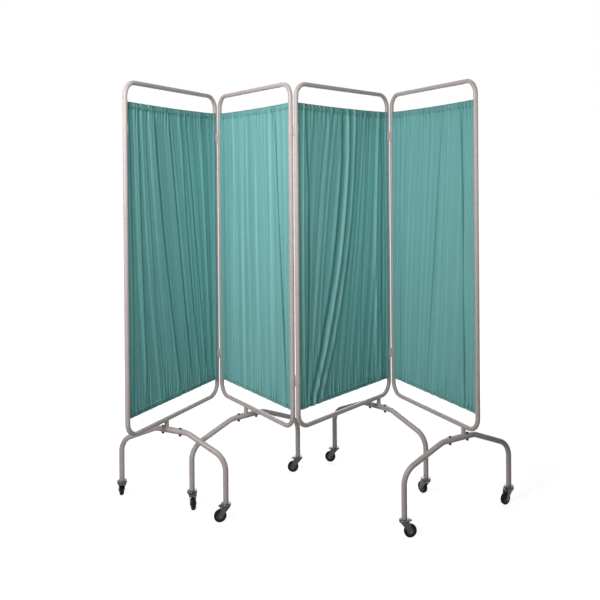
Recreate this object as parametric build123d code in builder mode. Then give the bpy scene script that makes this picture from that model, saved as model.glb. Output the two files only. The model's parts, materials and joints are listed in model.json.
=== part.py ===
from build123d import *
import os
from math import cos, radians, sin, sqrt

# Four-panel folding privacy screen: tube frames with gathered curtains, joined by
# double-sleeve hinge clips, each panel standing on one arched leg with two castors.
# Millimetres, Z up, the floor at Z = 0, the row of panels running along X.

os.makedirs("parts", exist_ok=True)

# Panel frames
panel_pitch = 610.0          # length that each panel adds to the opened-out screen
hinge_pitch = 22.0           # from upright to upright across a hinge
frame_height = 1380.0        # from bottom rail to top rail, centre to centre
rail_height = 370.0          # bottom rail's centre above the floor
tube_diameter = 19.0
tube_wall = 1.2
corner_radius = 55.0         # of the tube's centreline
panel_width = panel_pitch - hinge_pitch
tube_radius = tube_diameter / 2
top_rail_height = rail_height + frame_height

# How the screen stands in plan: each panel's heading from +X, in degrees
headings = [66.5, -50.5, 49.5, -59.0]

# Arched legs, one under each panel, square to it
leg_diameter = 22.0
leg_wall = 1.5
leg_span = 534.0             # between the two upright ends
leg_drop = 45.0              # from bottom rail to the leg's flat middle
leg_flat = 160.0             # between the corners of the two slight bends
shoulder_drop = 77.0         # from the flat middle down to the shoulder's corner
shoulder_radius = 75.0
crown_radius = 60.0          # of the slight bends beside the middle
outer_leg_offset = 24.0      # outer panels' legs stand forward of the panel
inner_leg_offset = 8.0       # inner panels' legs stand back from it
leg_first_share = 0.15       # legs nest side by side when the screen is folded
leg_step_share = 0.24
leg_radius = leg_diameter / 2
leg_height = rail_height - leg_drop

# Saddle brackets that hold the legs to the bottom rails
stub_diameter = 18.0
stub_wall = 2.0
saddle_wall = 2.5
saddle_length = 122.0
saddle_end_drop = 7.0        # how far the saddle's tapered ends fall away
saddle_end_length = 14.0
saddle_fit = 0.15

# Bolts through saddle and leg
bolt_diameter = 6.0
bolt_spacing = 88.0
bolt_head_diameter = 13.0
bolt_head_height = 4.0
bolt_fit = 0.3
nut_width = 10.0             # across flats
nut_height = 5.0
flange_diameter = 13.0       # of the flanged nuts
flange_thickness = 1.2
bolt_end = 2.0               # thread standing past the nut
nut_fit = 0.05

# Hinge clips: two sleeves side by side in one moulding
clip_height = 40.0
clip_inset = 190.0           # from each rail to the clip's centre
clip_wall = 1.35
clip_web = 5.0               # half thickness of the recessed web
clip_fit = 0.08
clip_edge = 0.45

# Curtains, gathered on a wire at top and bottom
curtain_top_gap = 76.0       # from the top rail's centre to the top edge
curtain_bottom_gap = 70.0    # from the bottom rail's centre to the bottom edge
curtain_side_gap = 0.5       # from the hinge clips' sleeves to the cloth
heading_height = 18.0        # from each edge to its wire
gather_height = 62.0         # over which the folds open out from the wire
# Widths of one curtain's folds against each other; each next panel starts further along the row
fold_width_shares = [1.15, 0.8, 1.0, 1.3, 0.85, 1.1, 0.75, 1.2, 0.95, 0.8, 1.25, 0.85]
fold_turn = 3                # how many folds further along each next panel starts
fold_lean_shares = [-0.27, -0.07, 0.30, 0.18]    # how far the folds lean to the right on their way up
fold_pivot_share = 0.5       # height about which they lean
fold_rise_share = 0.36       # most that a fold stands out, against half its width
fold_depth = 8.4             # the wave's reach to each side at mid height
fold_depth_gathered = 6.6
fold_depth_edge = 5.4
fold_depth_wire = 0.9
cloth_half = 1.1             # half thickness of the folded cloth
casing_half = 4.4            # half thickness of the casing round the wire
wire_diameter = 3.4
wire_bore_gap = 0.3
wire_pin_diameter = 2.4
wire_pin_reach = 1.5         # past the inside of the upright's wall
wire_pin_fit = 0.1
curtain_edge = tube_radius + clip_fit + clip_wall + curtain_side_gap

# Castors
castor_height = 73.0         # from the floor to the end of the leg
wheel_diameter = 50.0
wheel_width = 17.0
wheel_hub_diameter = 34.0
wheel_dish = 2.2
wheel_boss_diameter = 13.0
wheel_boss_width = 18.6
tread_round = 5.0
castor_trail = 23.0          # from the swivel's axis to the axle
axle_diameter = 6.0
axle_fit = 0.06
axle_head_diameter = 10.0
axle_head_height = 2.4
axle_head_taper = 30.0       # degrees
fork_inside = 19.2
fork_wall = 2.0
fork_top_diameter = 42.0
fork_plate = 2.6
fork_crown_width = 37.0      # across the cheeks where they leave the top plate
fork_neck_height = 43.0      # above the floor, where they come in to the wheel
fork_hood_height = 52.0      # of the lower edge of the crown's closed ends
fork_nose_diameter = 28.0    # plan rounding over the axle
fork_lip = 30.0              # reach of the lip over the wheel
fork_lip_width = 18.0
fork_boss_diameter = 17.0
fork_heel = 17.0             # where the side plates start, ahead of the swivel
fork_toe = 17.5              # and where they end, behind it
race_diameter = 41.0
race_height = 7.0
race_wall = 2.0
race_gap = 0.4
kingpin_diameter = 8.0
kingpin_head_diameter = 13.0
kingpin_head_height = 2.5
kingpin_fit = 0.08
stem_diameter = 10.0
stem_length = 34.0
stem_fit = 0.06
socket_length = 38.0
socket_fit = 0.1
retainer_diameter = 5.0
retainer_height = 13.0       # above the end of the leg
# Each castor's trail direction in plan, in degrees from +X: back then front of each panel
castor_headings = [(115.0, 200.0), (180.0, 293.0), (165.0, 125.0), (220.0, 12.0)]
plate_under = castor_height - race_height - race_gap - fork_plate

overrun = 30.0               # how far every cutting tool runs past what it cuts


def plan_vector(angle, length=1.0):
    """A level vector at an angle from +X."""
    return Vector(cos(radians(angle)) * length, sin(radians(angle)) * length, 0)


def lay_out_panels():
    """Foot of each panel's left-hand upright, each panel following on from the last."""
    feet = [Vector(0, 0, 0)]
    for before, after in zip(headings, headings[1:]):
        end = feet[-1] + plan_vector(before, panel_width)
        across = plan_vector((before + after) / 2, hinge_pitch)
        feet.append(end + across)
    return feet


panel_feet = lay_out_panels()


def face_plane(k):
    """Upright plane of a panel: local X along it, local Y up, local Z out of its front."""
    along = plan_vector(headings[k])
    return Plane(panel_feet[k], x_dir=along, z_dir=along.cross(Vector(0, 0, 1)))


def level_plane(k, height):
    """Level plane over a panel: local X along it, local Y towards its back."""
    return Plane(panel_feet[k] + Vector(0, 0, height), x_dir=plan_vector(headings[k]), z_dir=(0, 0, 1))


def leg_place(k):
    """How far along its panel the leg stands, and how far out of the panel's front."""
    fold_order = [1, 2, 3, 0]
    share = leg_first_share + leg_step_share * fold_order[k]
    along = share * panel_width if k % 2 == 0 else (1 - share) * panel_width
    forward = outer_leg_offset if k in (0, 3) else -inner_leg_offset
    return along, forward


def leg_centre(k):
    """Plan position of the middle of a panel's leg."""
    along, forward = leg_place(k)
    plane = face_plane(k)
    return panel_feet[k] + plane.x_dir * along + plane.z_dir * forward


def leg_plane(k):
    """Upright plane of a panel's leg: local X towards the panel's front, local Y up."""
    plane = face_plane(k)
    return Plane(leg_centre(k), x_dir=plane.z_dir, z_dir=plane.z_dir.cross(Vector(0, 0, 1)))


def castor_foot(k, side):
    """Floor point under a castor's swivel: side -1 is the panel's back, +1 its front."""
    return leg_centre(k) + face_plane(k).z_dir * (side * leg_span / 2)


def wire_heights():
    """Heights of the bottom and top curtain wires."""
    low = rail_height + curtain_bottom_gap + heading_height
    high = top_rail_height - curtain_top_gap - heading_height
    return low, high


def make_panel_frame(k):
    """One closed loop of tube, drilled inside the uprights for the curtain wires."""
    plane = face_plane(k)
    middle = panel_width / 2
    with BuildPart() as frame:
        with BuildLine(plane) as loop:
            FilletPolyline(
                (middle, rail_height),
                (panel_width, rail_height),
                (panel_width, top_rail_height),
                (middle, top_rail_height),
                radius=corner_radius,
            )
        with BuildSketch(Plane(loop.line @ 0, x_dir=(0, 0, 1), z_dir=loop.line % 0)):
            Circle(tube_radius)
            Circle(tube_radius - tube_wall, mode=Mode.SUBTRACT)
        sweep(path=loop.line)
        mirror(about=Plane(loop.line @ 0, z_dir=plane.x_dir))
        for height in wire_heights():
            for x, reach in ((0.0, tube_diameter), (panel_width, -tube_diameter)):
                drill = Plane(plane.from_local_coords((x, height, 0)), z_dir=plane.x_dir)
                with BuildSketch(drill):
                    Circle(wire_pin_diameter / 2 + wire_pin_fit)
                extrude(amount=reach, mode=Mode.SUBTRACT)
    return frame.part


def make_curtain_wires(k):
    """Two sprung wires, each with a pin at both ends that sits in the upright."""
    plane = face_plane(k)
    pin_start = tube_radius - tube_wall - wire_pin_reach
    with BuildPart() as wires:
        for height in wire_heights():
            for radius, start in ((wire_diameter / 2, tube_radius), (wire_pin_diameter / 2, pin_start)):
                section = Plane(plane.from_local_coords((start, height, 0)), z_dir=plane.x_dir)
                with BuildSketch(section):
                    Circle(radius)
                extrude(amount=panel_width - 2 * start)
    return wires.part


def fold_edges(k, share_up):
    """Where each half fold of a panel starts and ends along it, at a share of the cloth's height."""
    widths = fold_width_shares[k * fold_turn:] + fold_width_shares[:k * fold_turn]
    halves = [width / (2 * sum(widths)) for width in widths for half in range(2)]
    places = [sum(halves[:i]) for i in range(len(halves) + 1)]
    lean = 4 * fold_lean_shares[k] * (share_up - fold_pivot_share)
    return [
        curtain_edge + (place + lean * place * (1 - place)) * (panel_width - 2 * curtain_edge)
        for place in places
    ]


def fold_outline(edges, side, half, depth):
    """One face of the folded cloth, a wave of arcs from one side edge to the other."""
    for i, (start, end) in enumerate(zip(edges, edges[1:])):
        rise = min(depth, fold_rise_share * (end - start))
        reach = rise if i % 2 == 0 else -rise
        ThreePointArc(
            (start, side * half),
            ((start + end) / 2, side * half + reach),
            (end, side * half),
        )


def make_curtain(k):
    """Gathered cloth with its main folds, closed round the wires at top and bottom."""
    low_edge = rail_height + curtain_bottom_gap
    high_edge = top_rail_height - curtain_top_gap
    low_wire, high_wire = wire_heights()
    sections = [
        (low_edge, cloth_half, fold_depth_edge),
        (low_wire, casing_half, fold_depth_wire),
        (low_wire + gather_height, cloth_half, fold_depth_gathered),
        ((low_edge + high_edge) / 2, cloth_half, fold_depth),
        (high_wire - gather_height, cloth_half, fold_depth_gathered),
        (high_wire, casing_half, fold_depth_wire),
        (high_edge, cloth_half, fold_depth_edge),
    ]
    last = panel_width - curtain_edge
    with BuildPart() as curtain:
        for height, half, depth in sections:
            edges = fold_edges(k, (height - low_edge) / (high_edge - low_edge))
            with BuildSketch(level_plane(k, height)):
                with BuildLine():
                    fold_outline(edges, -1, half, depth)
                    Line((last, -half), (last, half))
                    fold_outline(edges, 1, half, depth)
                    Line((curtain_edge, half), (curtain_edge, -half))
                make_face()
        loft(ruled=True)
        plane = face_plane(k)
        for height in wire_heights():
            bore = Plane(plane.from_local_coords((0, height, 0)), z_dir=plane.x_dir)
            with BuildSketch(bore):
                Circle(wire_diameter / 2 + wire_bore_gap)
            extrude(amount=panel_width, mode=Mode.SUBTRACT)
    return curtain.part


def make_saddle_bracket(k):
    """A stub coped to the bottom rail, and the half-round saddle that sits on the leg."""
    plane = leg_plane(k)
    along, forward = leg_place(k)
    inner = leg_radius + saddle_fit
    outer = inner + saddle_wall
    stub_centre = panel_feet[k] + face_plane(k).x_dir * along
    with BuildPart() as bracket:
        with BuildSketch(Plane(stub_centre + Vector(0, 0, leg_height), z_dir=(0, 0, 1))):
            Circle(stub_diameter / 2)
            Circle(stub_diameter / 2 - stub_wall, mode=Mode.SUBTRACT)
        extrude(amount=leg_drop)
        across = Vector(0, 0, 1).cross(plane.x_dir)
        section = Plane(leg_centre(k) + Vector(0, 0, leg_height), x_dir=across, z_dir=plane.x_dir)
        with BuildSketch(section):
            Circle(outer)
            Rectangle(2 * outer, outer, align=(Align.CENTER, Align.MIN), mode=Mode.INTERSECT)
        extrude(amount=saddle_length / 2, both=True)
        for end in (-1, 1):
            tip = end * saddle_length / 2
            shoulder = end * (saddle_length / 2 - saddle_end_length)
            with BuildSketch(plane):
                with BuildLine():
                    Polyline(
                        (shoulder, leg_height + outer),
                        (tip, leg_height + outer - saddle_end_drop),
                        (tip + end * overrun, leg_height + outer - saddle_end_drop),
                        (tip + end * overrun, leg_height + outer + overrun),
                        (shoulder, leg_height + outer + overrun),
                        close=True,
                    )
                make_face()
            extrude(amount=2 * outer, both=True, mode=Mode.SUBTRACT)
        with BuildSketch(section):
            Circle(inner)
        extrude(amount=saddle_length, both=True, mode=Mode.SUBTRACT)
        rail = face_plane(k)
        rail_section = Plane(rail.from_local_coords((0, rail_height, 0)), z_dir=rail.x_dir)
        with BuildSketch(rail_section):
            Circle(tube_radius)
        extrude(amount=panel_width, mode=Mode.SUBTRACT)
        for side in (-1, 1):
            hole = Plane(plane.from_local_coords((side * bolt_spacing / 2, leg_height, 0)), z_dir=(0, 0, 1))
            with BuildSketch(hole):
                Circle(bolt_diameter / 2 + bolt_fit)
            extrude(amount=leg_drop, mode=Mode.SUBTRACT)
    return bracket.part


def make_leg_arch(k):
    """The bent leg tube: two upright ends, sloping shoulders and a flat middle."""
    plane = leg_plane(k)
    half = leg_span / 2
    shoulder = leg_height - shoulder_drop
    with BuildPart() as leg:
        with BuildLine(plane) as path:
            FilletPolyline(
                (-half, castor_height),
                (-half, shoulder),
                (-leg_flat / 2, leg_height),
                (leg_flat / 2, leg_height),
                (half, shoulder),
                (half, castor_height),
                radius=[shoulder_radius, crown_radius, crown_radius, shoulder_radius],
            )
        with BuildSketch(Plane(path.line @ 0, x_dir=plane.x_dir, z_dir=path.line % 0)):
            Circle(leg_radius)
            Circle(leg_radius - leg_wall, mode=Mode.SUBTRACT)
        sweep(path=path.line)
        for side in (-1, 1):
            hole = Plane(plane.from_local_coords((side * bolt_spacing / 2, leg_height, 0)), z_dir=(0, 0, 1))
            with BuildSketch(hole):
                Circle(bolt_diameter / 2 + bolt_fit)
            extrude(amount=leg_diameter, both=True, mode=Mode.SUBTRACT)
            retainer = Plane(
                plane.from_local_coords((side * half, castor_height + retainer_height, 0)), z_dir=plane.z_dir
            )
            with BuildSketch(retainer):
                Circle(retainer_diameter / 2)
            extrude(amount=leg_diameter, mode=Mode.SUBTRACT)
    return leg.part


def make_leg_bolts(k):
    """Two domed bolts and their flanged nuts."""
    plane = leg_plane(k)
    crown = leg_height + leg_radius + saddle_fit + saddle_wall
    belly = leg_height - leg_radius
    nut_top = belly - flange_thickness
    shank_end = nut_top - nut_height - bolt_end
    head_round = (bolt_head_height ** 2 + (bolt_head_diameter / 2) ** 2) / (2 * bolt_head_height)
    with BuildPart() as bolts:
        for side in (-1, 1):
            foot = plane.from_local_coords((side * bolt_spacing / 2, 0, 0))
            profile = Plane(foot, x_dir=plane.x_dir, z_dir=plane.z_dir)
            dome = sqrt(head_round ** 2 - (bolt_head_diameter / 4) ** 2)
            with BuildSketch(profile):
                with BuildLine():
                    Polyline(
                        (0, crown + bolt_head_height),
                        (0, shank_end),
                        (bolt_diameter / 2, shank_end),
                        (bolt_diameter / 2, crown),
                        (bolt_head_diameter / 2, crown),
                    )
                    ThreePointArc(
                        (bolt_head_diameter / 2, crown),
                        (bolt_head_diameter / 4, crown + bolt_head_height - head_round + dome),
                        (0, crown + bolt_head_height),
                    )
                make_face()
            revolve(axis=Axis(foot, (0, 0, 1)))
        for side in (-1, 1):
            foot = plane.from_local_coords((side * bolt_spacing / 2, 0, 0))
            with BuildSketch(Plane(foot + Vector(0, 0, nut_top), z_dir=(0, 0, 1))):
                Circle(flange_diameter / 2)
                Circle(bolt_diameter / 2 + nut_fit, mode=Mode.SUBTRACT)
            extrude(amount=flange_thickness)
            with BuildSketch(Plane(foot + Vector(0, 0, nut_top - nut_height), z_dir=(0, 0, 1))):
                RegularPolygon(nut_width / 2, 6, major_radius=False)
                Circle(bolt_diameter / 2 + nut_fit, mode=Mode.SUBTRACT)
            extrude(amount=nut_height)
    return bolts.part


def make_castor_sockets(k):
    """A bush in each end of the leg that grips the castor's stem."""
    with BuildPart() as sockets:
        for side in (-1, 1):
            with BuildSketch(Plane(castor_foot(k, side) + Vector(0, 0, castor_height), z_dir=(0, 0, 1))):
                Circle(leg_radius - leg_wall - socket_fit)
                Circle(stem_diameter / 2 + stem_fit, mode=Mode.SUBTRACT)
            extrude(amount=socket_length)
    return sockets.part


def make_castor_stems(k):
    """Stem, upper race cup and riveted kingpin of each castor, fixed to the leg."""
    cup_top = castor_height
    cup_floor = castor_height - race_wall
    cup_rim = castor_height - race_height
    head_top = plate_under - race_gap
    head_under = head_top - kingpin_head_height
    rim_inside = race_diameter / 2 - race_wall
    with BuildPart() as stems:
        for side in (-1, 1):
            foot = castor_foot(k, side)
            with BuildSketch(Plane(foot, x_dir=face_plane(k).x_dir, z_dir=face_plane(k).z_dir)):
                with BuildLine():
                    Polyline(
                        (0, cup_top + stem_length),
                        (0, head_under),
                        (kingpin_head_diameter / 2, head_under),
                        (kingpin_head_diameter / 2, head_top),
                        (kingpin_diameter / 2, head_top),
                        (kingpin_diameter / 2, cup_floor),
                        (rim_inside, cup_floor),
                        (rim_inside, cup_rim),
                        (race_diameter / 2, cup_rim),
                        (race_diameter / 2, cup_floor),
                        (rim_inside, cup_top),
                        (stem_diameter / 2, cup_top),
                        (stem_diameter / 2, cup_top + stem_length),
                        close=True,
                    )
                make_face()
            revolve(axis=Axis(foot, (0, 0, 1)))
    return stems.part


def castor_plane(k, side):
    """Upright plane of a castor: local X along its trail, local Y up, through its swivel."""
    heading = castor_headings[k][0] if side < 0 else castor_headings[k][1]
    trail = plan_vector(heading)
    return Plane(castor_foot(k, side), x_dir=trail, z_dir=trail.cross(Vector(0, 0, 1)))


def fork_section(neck, crown):
    """Outline across a fork: its open foot and narrow neck, widening to the crown."""
    return [
        (-neck, 0),
        (-neck, fork_neck_height),
        (-crown, plate_under),
        (crown, plate_under),
        (neck, fork_neck_height),
        (neck, 0),
    ]


def make_castor_fork(k, side):
    """Pressed fork: a hooded crown with a lip, its sides flaring in to two cheeks at the axle."""
    plane = castor_plane(k, side)
    across = Plane(plane.from_local_coords((castor_trail, 0, 0)), x_dir=-plane.z_dir, z_dir=plane.x_dir)
    level = Plane(plane.origin + Vector(0, 0, plate_under), x_dir=plane.x_dir, z_dir=(0, 0, 1))
    neck = fork_inside / 2
    crown = fork_crown_width / 2 - fork_wall
    axle_height = wheel_diameter / 2
    with BuildPart() as hollow:
        with BuildSketch(across):
            Polygon(*fork_section(neck, crown), align=None)
        extrude(amount=wheel_diameter, both=True)
        with BuildSketch(plane):
            with BuildLine():
                Line((fork_wall - fork_heel, plate_under), (fork_toe - fork_wall, plate_under))
                CenterArc((castor_trail, axle_height), fork_boss_diameter / 2 - fork_wall, 0, 360)
            make_hull()
            with Locations((castor_trail, fork_hood_height / 2)):
                Rectangle(2 * wheel_diameter, fork_hood_height)
        extrude(amount=fork_top_diameter, both=True, mode=Mode.INTERSECT)
    with BuildPart() as fork:
        with BuildSketch(across):
            Polygon(*fork_section(neck + fork_wall, crown + fork_wall), align=None)
        extrude(amount=wheel_diameter, both=True)
        with BuildSketch(plane):
            with BuildLine():
                Line((-fork_heel, plate_under), (fork_toe, plate_under))
                CenterArc((castor_trail, axle_height), fork_boss_diameter / 2, 0, 360)
            make_hull()
            with Locations((castor_trail, axle_height)):
                Circle(axle_diameter / 2 + axle_fit, mode=Mode.SUBTRACT)
        extrude(amount=fork_top_diameter, both=True, mode=Mode.INTERSECT)
        with BuildSketch(Plane(plane.origin, x_dir=plane.x_dir, z_dir=(0, 0, 1))):
            with BuildLine():
                CenterArc((0, 0), fork_top_diameter / 2, 0, 360)
                CenterArc((castor_trail, 0), fork_nose_diameter / 2, 0, 360)
            make_hull()
        extrude(amount=castor_height, mode=Mode.INTERSECT)
        add(hollow.part, mode=Mode.SUBTRACT)
        with BuildSketch(level):
            Circle(fork_top_diameter / 2)
            with Locations((fork_lip / 2, 0)):
                RectangleRounded(fork_lip, fork_lip_width, fork_lip_width / 3)
            Circle(kingpin_diameter / 2 + kingpin_fit, mode=Mode.SUBTRACT)
        extrude(amount=fork_plate)
    return fork.part


def make_castor_wheel(k, side):
    """Wheel with a rounded tread, dished faces and a boss that runs on the axle."""
    plane = castor_plane(k, side)
    hub = plane.from_local_coords((castor_trail, wheel_diameter / 2, 0))
    bore = axle_diameter / 2 + axle_fit
    half = wheel_width / 2
    rim = wheel_diameter / 2
    dished = half - wheel_dish
    with BuildPart() as wheel:
        with BuildSketch(Plane(hub, x_dir=(0, 0, 1), z_dir=plane.x_dir)) as section:
            with BuildLine():
                for face in (-1, 1):
                    Polyline(
                        (bore, 0),
                        (bore, face * wheel_boss_width / 2),
                        (wheel_boss_diameter / 2, face * wheel_boss_width / 2),
                        (wheel_boss_diameter / 2 + wheel_dish, face * dished),
                        (wheel_hub_diameter / 2, face * dished),
                        (wheel_hub_diameter / 2, face * half),
                        (rim - tread_round, face * half),
                        (rim, face * (half - tread_round)),
                        (rim, 0),
                    )
            make_face()
        revolve(axis=Axis(hub, plane.z_dir))
    return wheel.part


def make_castor_axle(k, side):
    """Axle riveted over at both cheeks of the fork."""
    plane = castor_plane(k, side)
    hub = plane.from_local_coords((castor_trail, wheel_diameter / 2, 0))
    cheek = fork_inside / 2 + fork_wall
    with BuildPart() as axle:
        with BuildSketch(Plane(hub, z_dir=plane.z_dir)):
            Circle(axle_diameter / 2)
        extrude(amount=cheek, both=True)
        for flank in (-1, 1):
            with BuildSketch(Plane(hub + plane.z_dir * (flank * cheek), z_dir=plane.z_dir * flank)):
                Circle(axle_head_diameter / 2)
            extrude(amount=axle_head_height, taper=axle_head_taper)
    return axle.part


def make_hinge_clips(k):
    """Two double sleeves over the uprights on either side of a hinge."""
    end = panel_feet[k] + plan_vector(headings[k], panel_width)
    across = plan_vector((headings[k] + headings[k + 1]) / 2)
    closing = 1 if k % 2 == 0 else -1
    bore = tube_radius + clip_fit
    shell = bore + clip_wall
    with BuildPart() as clips:
        for height in (rail_height + clip_inset, top_rail_height - clip_inset):
            plane = Plane(end + Vector(0, 0, height - clip_height / 2), x_dir=across, z_dir=(0, 0, 1))
            flush = -closing * shell
            recess = closing * clip_web
            with BuildSketch(plane):
                with Locations((0, 0), (hinge_pitch, 0)):
                    Circle(shell)
                with Locations((hinge_pitch / 2, (flush + recess) / 2)):
                    Rectangle(hinge_pitch, shell + clip_web)
                with Locations((0, 0), (hinge_pitch, 0)):
                    Circle(bore, mode=Mode.SUBTRACT)
            extrude(amount=clip_height)
        ends = clips.faces().filter_by(Axis.Z)
        outlines = [face.outer_wire().edges() for face in ends]
        chamfer([edge for outline in outlines for edge in outline], clip_edge)
    return clips.part


built = {}
for k in range(4):
    number = k + 1
    built[f"panel_frame_{number}"] = make_panel_frame(k)
    built[f"curtain_{number}"] = make_curtain(k)
    built[f"curtain_wires_{number}"] = make_curtain_wires(k)
    built[f"saddle_bracket_{number}"] = make_saddle_bracket(k)
    built[f"leg_arch_{number}"] = make_leg_arch(k)
    built[f"leg_bolts_{number}"] = make_leg_bolts(k)
    built[f"castor_sockets_{number}"] = make_castor_sockets(k)
    built[f"castor_stems_{number}"] = make_castor_stems(k)
    for side, end_name in ((-1, "back"), (1, "front")):
        built[f"castor_fork_{number}_{end_name}"] = make_castor_fork(k, side)
        built[f"castor_wheel_{number}_{end_name}"] = make_castor_wheel(k, side)
        built[f"castor_axle_{number}_{end_name}"] = make_castor_axle(k, side)
for k in range(3):
    built[f"hinge_clips_{k + 1}{k + 2}"] = make_hinge_clips(k)

# The origin is on the floor, under the middle of the standing screen
boxes = [part.bounding_box() for part in built.values()]
middle_x = (min(box.min.X for box in boxes) + max(box.max.X for box in boxes)) / 2
middle_y = (min(box.min.Y for box in boxes) + max(box.max.Y for box in boxes)) / 2
origin_shift = Vector(-middle_x, -middle_y, 0)
for name, part in built.items():
    placed = part.moved(Location(origin_shift))
    placed.label = name
    export_step(placed, f"parts/{name}.step")
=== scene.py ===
import json
import math
import random

import bpy
import numpy as np
from mathutils import Matrix, Vector


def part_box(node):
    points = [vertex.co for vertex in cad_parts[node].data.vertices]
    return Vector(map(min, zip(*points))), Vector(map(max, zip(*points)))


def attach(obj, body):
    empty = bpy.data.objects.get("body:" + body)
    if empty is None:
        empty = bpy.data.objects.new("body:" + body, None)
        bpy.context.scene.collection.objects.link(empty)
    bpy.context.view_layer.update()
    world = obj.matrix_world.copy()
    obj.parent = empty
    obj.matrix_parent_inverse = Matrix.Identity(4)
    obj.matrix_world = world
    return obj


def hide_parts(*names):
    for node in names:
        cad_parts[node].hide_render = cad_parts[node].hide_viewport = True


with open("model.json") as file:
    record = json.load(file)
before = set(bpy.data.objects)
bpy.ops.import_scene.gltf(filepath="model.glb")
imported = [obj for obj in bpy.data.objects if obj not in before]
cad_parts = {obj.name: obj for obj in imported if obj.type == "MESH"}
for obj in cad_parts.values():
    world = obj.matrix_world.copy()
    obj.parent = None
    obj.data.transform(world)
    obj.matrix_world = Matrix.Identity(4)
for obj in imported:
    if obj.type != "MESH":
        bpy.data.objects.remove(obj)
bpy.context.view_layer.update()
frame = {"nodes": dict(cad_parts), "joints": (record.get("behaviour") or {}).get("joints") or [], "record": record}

# Sizes of the screen, in metres, and the panels' headings in plan, in degrees from +X

panels = (1, 2, 3, 4)
tube_radius = 0.0095         # frame tube
panel_width = 0.588          # between the uprights' centres
headings = {1: 66.5, 2: -50.5, 3: 49.5, 4: -59.0}
mm_per_metre = 1000.0


# Working by hand: selection, modifiers and places

merge_distance = 0.000005    # under which two points are one, in metres


def deselect():
    """Nothing selected and nothing active."""
    bpy.ops.object.select_all(action="DESELECT")
    bpy.context.view_layer.objects.active = None


def make_active(piece):
    """One piece selected and active, and no other."""
    deselect()
    piece.select_set(True)
    bpy.context.view_layer.objects.active = piece


def place_object(name, data):
    """A new object in the scene from a mesh, a camera or a lamp."""
    piece = bpy.data.objects.new(name, data)
    bpy.context.scene.collection.objects.link(piece)
    return piece


def apply_modifier(piece, kind, name, **settings):
    """Adds one modifier with its settings and applies it."""
    modifier = piece.modifiers.new(name, kind)
    for key, value in settings.items():
        setattr(modifier, key, value)
    make_active(piece)
    bpy.ops.object.modifier_apply(modifier=modifier.name)


def panel_axes(panel):
    """Directions along a panel and out of its front."""
    angle = math.radians(headings[panel])
    along = Vector((math.cos(angle), math.sin(angle), 0.0))
    out = Vector((math.sin(angle), -math.cos(angle), 0.0))
    return along, out


def panel_foot(panel):
    """Floor point under the left upright of a panel, from the frame's own box."""
    low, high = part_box(f"panel_frame_{panel}")
    along, _ = panel_axes(panel)
    foot = (low + high) / 2 - along * panel_width / 2
    return Vector((foot.x, foot.y, 0.0))


# Camera: the photograph's viewpoint, in metres from the outer upright of panel 1 at floor level

eye_right = 0.89829
eye_front = 2.63817
eye_height = 1.3685
eye_pitch = 0.00347          # radians, looking down
eye_roll = -0.00769
picture_side = 600.0         # pixels
focal_pixels = 683.0
vanishing_column = 358.2
vanishing_row = 180.6
sensor_side = 36.0           # millimetres
nearest_seen = 0.05          # metres
farthest_seen = 100.0


def outer_foot():
    """Floor point under the outer upright of panel 1."""
    low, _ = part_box("panel_frame_1")
    return Vector((low.x + tube_radius, low.y + tube_radius, 0.0))


def make_camera():
    """Nearly level, and shifted so that the screen lies in the picture as it does in the photograph."""
    data = bpy.data.cameras.new("camera")
    camera = place_object("camera", data)
    foot = outer_foot()
    place = Vector((foot.x + eye_right, foot.y - eye_front, eye_height))
    level_right = Vector((1.0, 0.0, 0.0))
    forward = Vector((0.0, math.cos(eye_pitch), -math.sin(eye_pitch)))
    level_up = Vector((0.0, math.sin(eye_pitch), math.cos(eye_pitch)))
    right = level_right * math.cos(eye_roll) + level_up * math.sin(eye_roll)
    up = level_up * math.cos(eye_roll) - level_right * math.sin(eye_roll)
    turn = Matrix((right, up, -forward)).transposed().to_4x4()
    camera.matrix_world = Matrix.Translation(place) @ turn
    data.sensor_width = sensor_side
    data.lens = focal_pixels / picture_side * sensor_side
    data.shift_x = (picture_side / 2 - vanishing_column) / picture_side
    data.shift_y = (vanishing_row - picture_side / 2) / picture_side
    data.clip_start = nearest_seen
    data.clip_end = farthest_seen
    bpy.context.scene.camera = camera


# Nodes of materials

mix_factor, mix_from, mix_to, mix_result = 0, 6, 7, 2    # sockets of a Mix node that blends colours


def new_material(name):
    """A node material, its tree and its Principled shader."""
    material = bpy.data.materials.new(name)
    material.use_nodes = True
    tree = material.node_tree
    return material, tree, tree.nodes["Principled BSDF"]


def set_inputs(node, values):
    """Sets a node's inputs by name, underscores standing for spaces."""
    for name, value in values.items():
        node.inputs[name.replace("_", " ")].default_value = value
    return node


def add_node(tree, kind, **values):
    """A node with its inputs set by name."""
    return set_inputs(tree.nodes.new(kind), values)


def use_group(tree, group, **values):
    """A node that holds a group, with its inputs set by name."""
    made = tree.nodes.new("ShaderNodeGroup")
    made.node_tree = group
    return set_inputs(made, values)


def add_math(tree, operation, first, second):
    """The result of two values, each a socket or a number."""
    made = tree.nodes.new("ShaderNodeMath")
    made.operation = operation
    for number, value in enumerate((first, second)):
        if isinstance(value, float):
            made.inputs[number].default_value = value
        else:
            tree.links.new(value, made.inputs[number])
    return made.outputs["Value"]


def blend_towards(tree, factor, start, color):
    """A colour that goes over into a fixed one as the factor goes from 0 to 1."""
    mix = tree.nodes.new("ShaderNodeMix")
    mix.data_type = "RGBA"
    mix.inputs[mix_to].default_value = (*color, 1.0)
    tree.links.new(factor, mix.inputs[mix_factor])
    tree.links.new(start, mix.inputs[mix_from])
    return mix.outputs[mix_result]


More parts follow.
